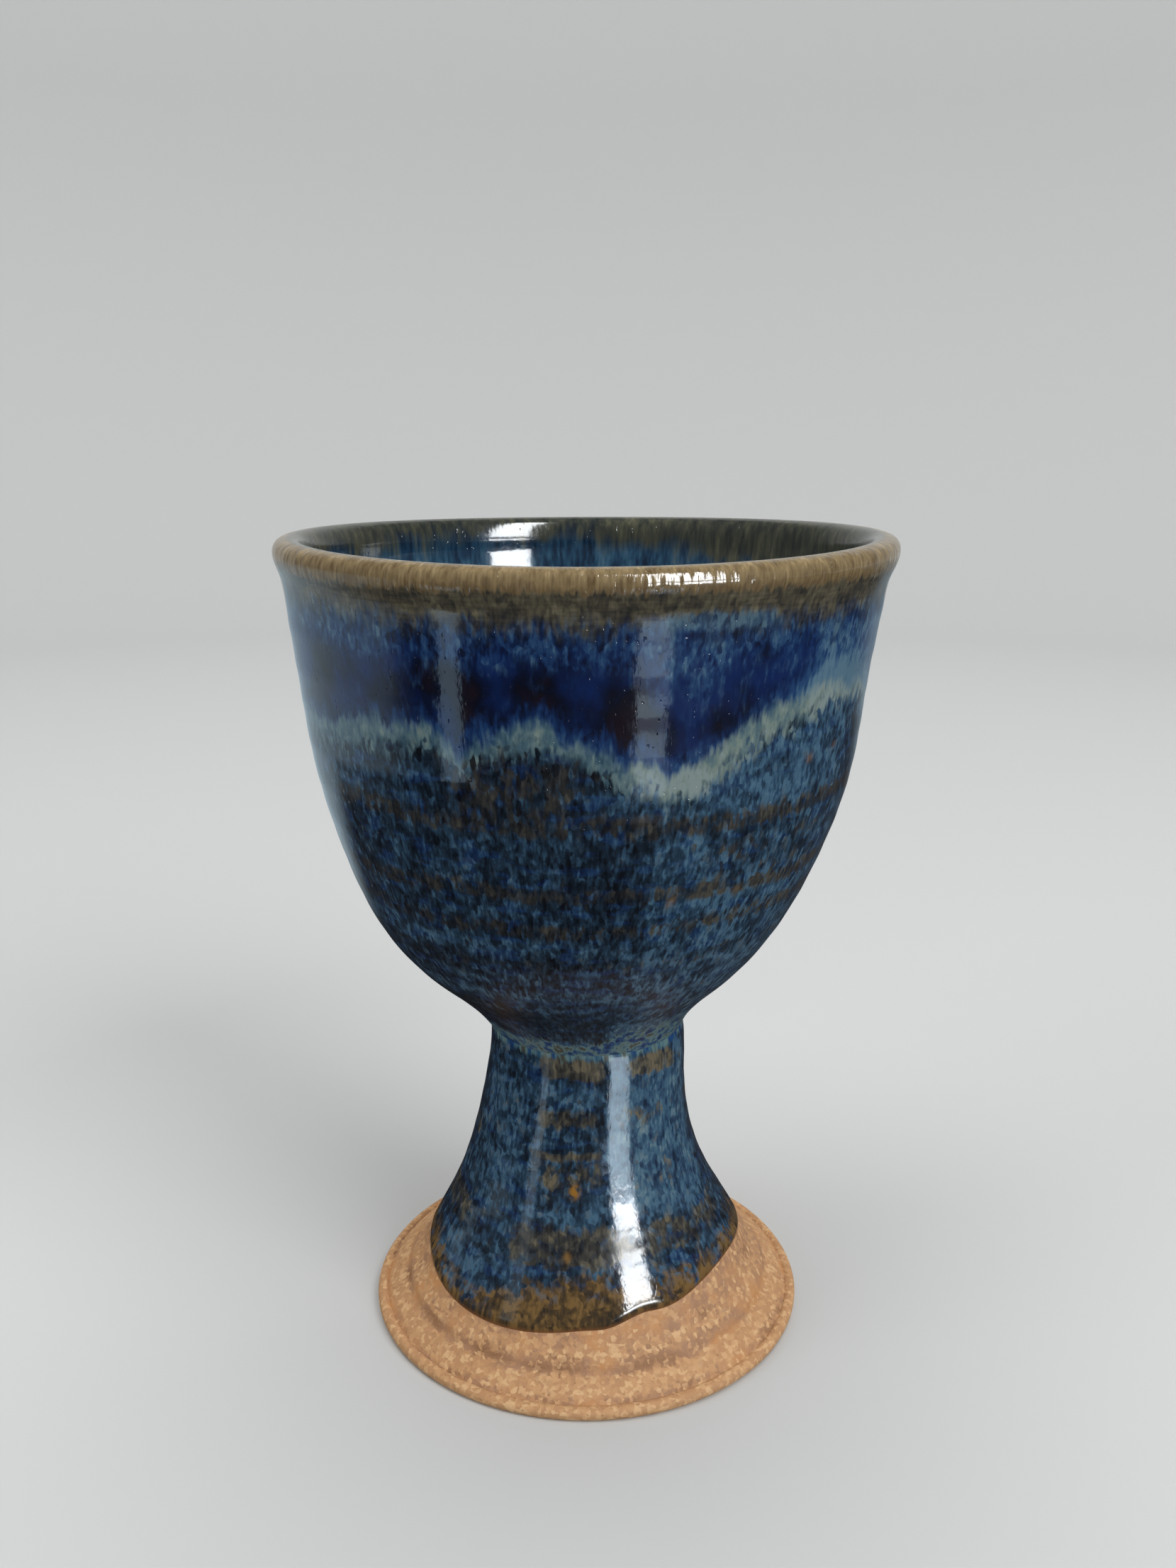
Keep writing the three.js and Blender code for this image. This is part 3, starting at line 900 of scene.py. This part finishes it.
def lamp(name, radiance, width, height, colour=(1, 1, 1), diffuse=True, glossy=True, spread=180):
    """A glowing rectangle, unseen by the camera, that shines within `spread` degrees."""
    data = bpy.data.lights.new(name, "AREA")
    data.shape = "RECTANGLE"
    data.size, data.size_y = width, height
    half = math.radians(spread / 2)
    narrowing = 1 - half / math.tan(half) if spread < 180 else 1
    data.spread = 2 * half
    data.energy = radiance * math.pi * width * height * narrowing
    data.color = colour
    light = bpy.data.objects.new(name, data)
    light.visible_camera = False
    light.visible_diffuse = diffuse
    light.visible_glossy = glossy
    bpy.context.scene.collection.objects.link(light)
    return light


def around(azimuth, distance, z):
    angle = math.radians(azimuth)
    return Vector((math.sin(angle) * distance, -math.cos(angle) * distance, z))


def softbox(name, azimuth, distance, low_z, high_z, width, radiance, tilt=0, **kinds):
    """An upright panel that faces the axis, tipped up by `tilt` degrees."""
    light = lamp(name, radiance, width, high_z - low_z, **kinds)
    light.location = around(azimuth, distance, (low_z + high_z) / 2)
    up = math.radians(tilt)
    light.rotation_euler = around(azimuth, math.cos(up), -math.sin(up)).to_track_quat("Z", "Y").to_euler()


def overhead(name, azimuth, distance, z, size, radiance, **kinds):
    """A square panel that looks down at the bowl."""
    light = lamp(name, radiance, size, size, **kinds)
    light.location = around(azimuth, distance, z)
    light.rotation_euler = (light.location - Vector((0, 0, 0.08))).to_track_quat("Z", "Y").to_euler()


def sheen(name, near, far, width, radiance, colour):
    """A strip on the floor that only reflections see, from one (azimuth, distance) to another."""
    start, end = around(*near, 0.003), around(*far, 0.003)
    light = lamp(name, radiance, width, (end - start).length, colour, diffuse=False)
    light.location = (start + end) / 2
    along = end - start
    light.rotation_euler = (math.pi, 0, math.atan2(along.y, along.x) + math.pi / 2)


def staged(name, rows, material):
    """A sheet through rows of points, which belongs to the studio and not to the chalice."""
    width = len(rows[0])
    starts = [i * width + j for i in range(len(rows) - 1) for j in range(width - 1)]
    mesh = bpy.data.meshes.new(name)
    mesh.from_pydata(sum(rows, []), [], [(s, s + 1, s + 1 + width, s + width) for s in starts])
    mesh.shade_smooth()
    mesh.materials.append(material)
    sheet = bpy.data.objects.new(name, mesh)
    bpy.context.scene.collection.objects.link(sheet)
    return sheet


def backdrop():
    """A pale dish that only the camera sees, and round it a sheet that light and reflections see."""
    paper = Recipe("backdrop_paper", Roughness=0.9, Specular_IOR_Level=0.1).finish(srgb(196, 197, 196), 0.9)
    depth, reach, bend, under = 1.4, 2.2, 0.5, -0.0005
    curve = [(bend * math.sin(t), bend - bend * math.cos(t)) for t in np.linspace(0.1, math.pi / 2, 12)]
    flat = depth - bend
    line = [(-reach, under), (flat, under)] + [(flat + across, up) for across, up in curve] + [(depth, 2.4)]
    sheet = staged("backdrop", [[(-reach, y, z), (reach, y, z)] for y, z in line], paper)
    sheet.visible_camera = False
    inner = flat - 0.02
    edge = [(0.0, 0.0), (inner, 0.0)] + [(inner + across, up) for across, up in curve]
    edge.append((inner + bend, 2.4))
    turns = np.radians(np.linspace(0, 360, 97))
    circles = [[(r * math.sin(t), -r * math.cos(t), z) for t in turns] for r, z in edge]
    dish = staged("backdrop_dish", circles, paper)
    dish.visible_diffuse = dish.visible_glossy = dish.visible_shadow = False


def table_reflection():
    """A card on the floor that only reflections see: a dark table for the glaze, pale on the left, in
    the far left corner and, more faintly, a long way behind. Its places are in millimetres."""
    m = Recipe("table_tone", Roughness=0.9)
    left, back = m.along(-1, 0, 0), m.along(0, 1, 0)
    side = m.times(m.between(m.along(-0.326, 0.946, 0), -50.0, 60.0), m.between(left, 220.0, 330.0))
    corner = m.times(m.between(back, 90.0, 190.0), m.between(left, 60.0, 150.0))
    behind = m.times(m.between(back, 250.0, 500.0), 0.5)
    pale = m.math("MAXIMUM", m.math("MAXIMUM", side, corner), behind)
    tone = m.finish(m.mix(pale, srgb(28, 27, 31), srgb(166, 184, 194)), 0.9)
    card = staged("reflected_table", [[(-1.3, y, 0.001), (1.0, y, 0.001)] for y in (-1.2, 0.9)], tone)
    card.visible_camera = card.visible_diffuse = card.visible_shadow = False


def studio():
    world = bpy.data.worlds.new("studio")
    world.use_nodes = True
    world.node_tree.nodes["Background"].inputs["Color"].default_value = (0.9, 0.95, 1.0, 1)
    world.node_tree.nodes["Background"].inputs["Strength"].default_value = 0.16
    bpy.context.scene.world = world
    overhead("key", 45, 1.3, 1.1, 0.9, 6.6, glossy=False)
    overhead("top", 180, 0.2, 1.8, 1.8, 2.6, glossy=False)
    overhead("fill", -70, 1.3, 0.8, 0.9, 2.4, glossy=False)
    window, sky = (0.95, 0.98, 1.0), (0.75, 0.9, 1.0)
    for name, low_z, high_z in (("window_low", 0.055, 0.225), ("window_high", 0.295, 1.9)):
        softbox(name, 36.5, 0.9, low_z, high_z, 0.31, 26.0, colour=window, diffuse=False)
    narrow = {"colour": sky, "diffuse": False, "spread": 80}
    softbox("stem_sheen", 33, 0.09, 0.01, 0.036, 0.033, 8.5, 10, **narrow)
    softbox("stem_sheen_left", -44, 0.09, 0.012, 0.05, 0.013, 1.6, 10, **narrow)
    sheen("sheen_right_far", (24, 0.28), (23, 0.46), 0.06, 2.9, (0.63, 0.82, 1.0))
    sheen("sheen_right_near", (24, 0.225), (24, 0.28), 0.054, 1.35, (0.62, 0.74, 1.0))
    sheen("sheen_right_end", (24, 0.195), (24, 0.225), 0.05, 0.35, (0.8, 0.85, 1.0))
    sheen("sheen_left", (-50, 0.25), (-48, 0.44), 0.045, 1.7, (0.55, 0.78, 1.0))
    bpy.context.scene.view_settings.view_transform = "Standard"


paint_pieces()
camera()
backdrop()
table_reflection()
studio()
